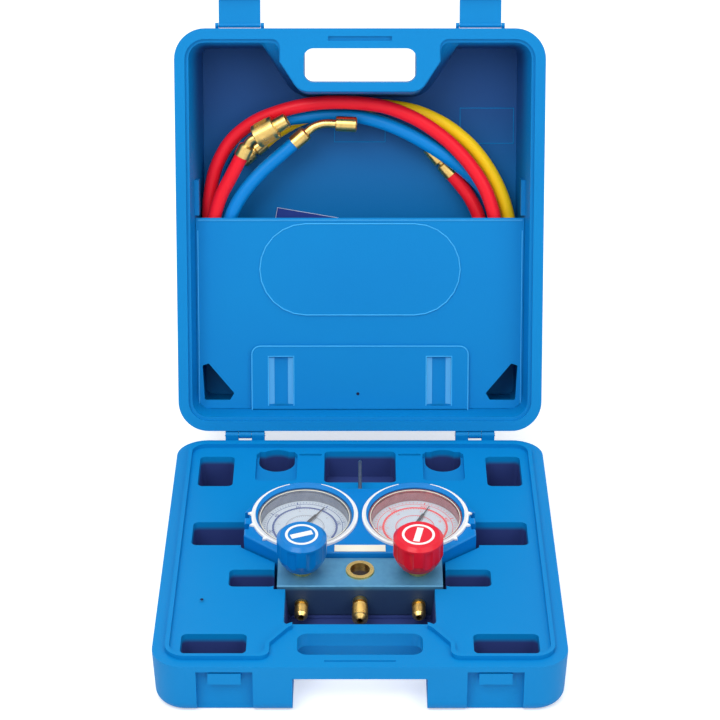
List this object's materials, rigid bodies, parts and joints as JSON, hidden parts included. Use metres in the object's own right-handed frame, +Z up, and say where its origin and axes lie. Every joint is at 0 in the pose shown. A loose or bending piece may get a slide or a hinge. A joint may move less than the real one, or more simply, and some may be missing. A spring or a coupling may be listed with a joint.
{
  "type": "refrigerant manifold gauge set",
  "caption": "Refrigerant manifold with two valves, gauges, sight glass and hanging hook, lying in a moulded carry case whose lid holds coloured charging hoses.",
  "frame": {"origin": "centre of the case's underside", "axes": "+Z up, -Y the case's front with the handle, the hinge at +Y; the lid stands open on its stop"},
  "size_m": [0.34, 0.5546, 0.4414],
  "materials": {
    "case_plastic": "fine grain blow-moulded surface",
    "bright_steel": "bright plated",
    "block_anodised": "blue anodised, satin",
    "brass": "machined",
    "amber_glass": "polished",
    "knob_blue_plastic": "satin",
    "knob_red_plastic": "satin",
    "white_plastic": "satin",
    "housing_plastic": "satin",
    "gauge_steel": "brushed",
    "dial_card": "matt printed",
    "clear_lens": "clear, polished",
    "pointer_black": "matt",
    "label_cream": "satin",
    "hose_red_rubber": "smooth cover",
    "hose_blue_rubber": "smooth cover",
    "hose_yellow_rubber": "smooth cover"
  },
  "bodies": {
    "case": {"base_shell": "case_plastic", "base_tray": "case_plastic", "hinge_pin_left": "bright_steel", "hinge_pin_right": "bright_steel"},
    "lid": {"lid_liner": "case_plastic", "lid_shell": "case_plastic", "hose_pocket_panel": "case_plastic", "latch_pin_left": "bright_steel", "latch_pin_right": "bright_steel", "ferrule_blue_manifold": "brass", "ferrule_blue_tank": "brass", "ferrule_red_manifold": "brass", "ferrule_red_tank": "brass", "ferrule_yellow_manifold": "brass", "ferrule_yellow_tank": "brass", "hose_blue": "hose_blue_rubber", "hose_red": "hose_red_rubber", "hose_yellow": "hose_yellow_rubber"},
    "latch_left": {"latch_left": "case_plastic"},
    "latch_right": {"latch_right": "case_plastic"},
    "manifold": {"manifold_block": "block_anodised", "port_left": "brass", "port_right": "brass", "port_centre": "brass", "sight_glass_ring": "brass", "sight_glass_lens": "amber_glass", "valve_bonnet_left": "brass", "valve_bonnet_right": "brass", "gauge_housing": "housing_plastic", "label_plate": "label_cream", "gauge_case_left": "gauge_steel", "gauge_case_right": "gauge_steel", "gauge_dial_left": "dial_card", "gauge_dial_right": "dial_card", "gauge_lens_left": "clear_lens", "gauge_lens_right": "clear_lens", "gauge_ring_left": "white_plastic", "gauge_ring_right": "white_plastic"},
    "hook": {"hook": "bright_steel"},
    "valve_left": {"valve_disc_left": "brass"},
    "knob_left": {"knob_left": "knob_blue_plastic", "knob_mark_left": "white_plastic", "valve_stem_left": "brass"},
    "pointer_left": {"pointer_left": "pointer_black"},
    "valve_right": {"valve_disc_right": "brass"},
    "knob_right": {"knob_right": "knob_red_plastic", "knob_mark_right": "white_plastic", "valve_stem_right": "brass"},
    "pointer_right": {"pointer_right": "pointer_black"},
    "nut_blue_manifold": {"nut_blue_manifold": "brass"},
    "nut_blue_tank": {"nut_blue_tank": "brass"},
    "nut_red_manifold": {"nut_red_manifold": "brass"},
    "nut_red_tank": {"nut_red_tank": "brass"},
    "nut_yellow_manifold": {"nut_yellow_manifold": "brass"},
    "nut_yellow_tank": {"nut_yellow_tank": "brass"}
  },
  "joints": [
    {"name": "lid_hinge", "type": "hinge", "parent": "case", "child": "lid", "pos_m": [0, 0.1915, 0.05], "axis": [-1, 0, 0], "range_deg": [-107.05, 0]},
    {"name": "manifold_lift", "type": "slide", "parent": "case", "child": "manifold", "axis": [0, 0, 1], "range_m": [0, 0.12]},
    {"name": "latch_left_turn", "type": "hinge", "parent": "lid", "child": "latch_left", "pos_m": [-0.11, 0.30626, 0.41395], "axis": [-1, 0, 0], "range_deg": [-90, 0]},
    {"name": "valve_left_rise", "type": "slide", "parent": "manifold", "child": "valve_left", "axis": [0, -0.1132, 0.9936], "range_m": [0, 0.00225]},
    {"name": "valve_left_turn", "type": "hinge", "parent": "valve_left", "child": "knob_left", "pos_m": [-0.0495, -0.0493, 0.06969], "axis": [0, -0.1132, 0.9936], "range_deg": [0, 540]},
    {"name": "pointer_left_sweep", "type": "hinge", "parent": "manifold", "child": "pointer_left", "pos_m": [-0.0485, 0.02218, 0.05268], "axis": [0, 0.1132, -0.9936], "range_deg": [-168, 102]},
    {"name": "latch_right_turn", "type": "hinge", "parent": "lid", "child": "latch_right", "pos_m": [0.11, 0.30626, 0.41395], "axis": [-1, 0, 0], "range_deg": [-90, 0]},
    {"name": "valve_right_rise", "type": "slide", "parent": "manifold", "child": "valve_right", "axis": [0, -0.1132, 0.9936], "range_m": [0, 0.00225]},
    {"name": "valve_right_turn", "type": "hinge", "parent": "valve_right", "child": "knob_right", "pos_m": [0.0495, -0.0493, 0.06969], "axis": [0, -0.1132, 0.9936], "range_deg": [0, 540]},
    {"name": "pointer_right_sweep", "type": "hinge", "parent": "manifold", "child": "pointer_right", "pos_m": [0.0485, 0.02218, 0.05268], "axis": [0, 0.1132, -0.9936], "range_deg": [-160, 110]},
    {"name": "hook_swivel", "type": "hinge", "parent": "manifold", "child": "hook", "pos_m": [0, 0.07171, 0.0553], "axis": [0, 0.9936, 0.1132], "continuous": true},
    {"name": "nut_blue_manifold_turn", "type": "hinge", "parent": "lid", "child": "nut_blue_manifold", "pos_m": [-0.01801, 0.3071, 0.31685], "axis": [0.9983, -0.054, -0.0214], "continuous": true},
    {"name": "nut_blue_tank_turn", "type": "hinge", "parent": "lid", "child": "nut_blue_tank", "pos_m": [0.04577, 0.26082, 0.11681], "axis": [0.9902, 0.0527, 0.1295], "continuous": true},
    {"name": "nut_red_manifold_turn", "type": "hinge", "parent": "lid", "child": "nut_red_manifold", "pos_m": [-0.09306, 0.29727, 0.30982], "axis": [0.8686, 0.0338, 0.4944], "continuous": true},
    {"name": "nut_red_tank_turn", "type": "hinge", "parent": "lid", "child": "nut_red_tank", "pos_m": [0.07351, 0.32012, 0.2773], "axis": [-0.6425, 0.2928, 0.7082], "continuous": true},
    {"name": "nut_yellow_manifold_turn", "type": "hinge", "parent": "lid", "child": "nut_yellow_manifold", "pos_m": [-0.10457, 0.32173, 0.27925], "axis": [-0.7667, -0.2484, -0.5921], "continuous": true},
    {"name": "nut_yellow_tank_turn", "type": "hinge", "parent": "lid", "child": "nut_yellow_tank", "pos_m": [-0.1, 0.29573, 0.19166], "axis": [0, 0.2729, 0.9621], "continuous": true}
  ],
  "couplings": [
    {"joint": "valve_left_turn", "follows": "valve_left_rise", "rad_per_m": 4188.8},
    {"joint": "valve_right_turn", "follows": "valve_right_rise", "rad_per_m": 4188.8}
  ]
}
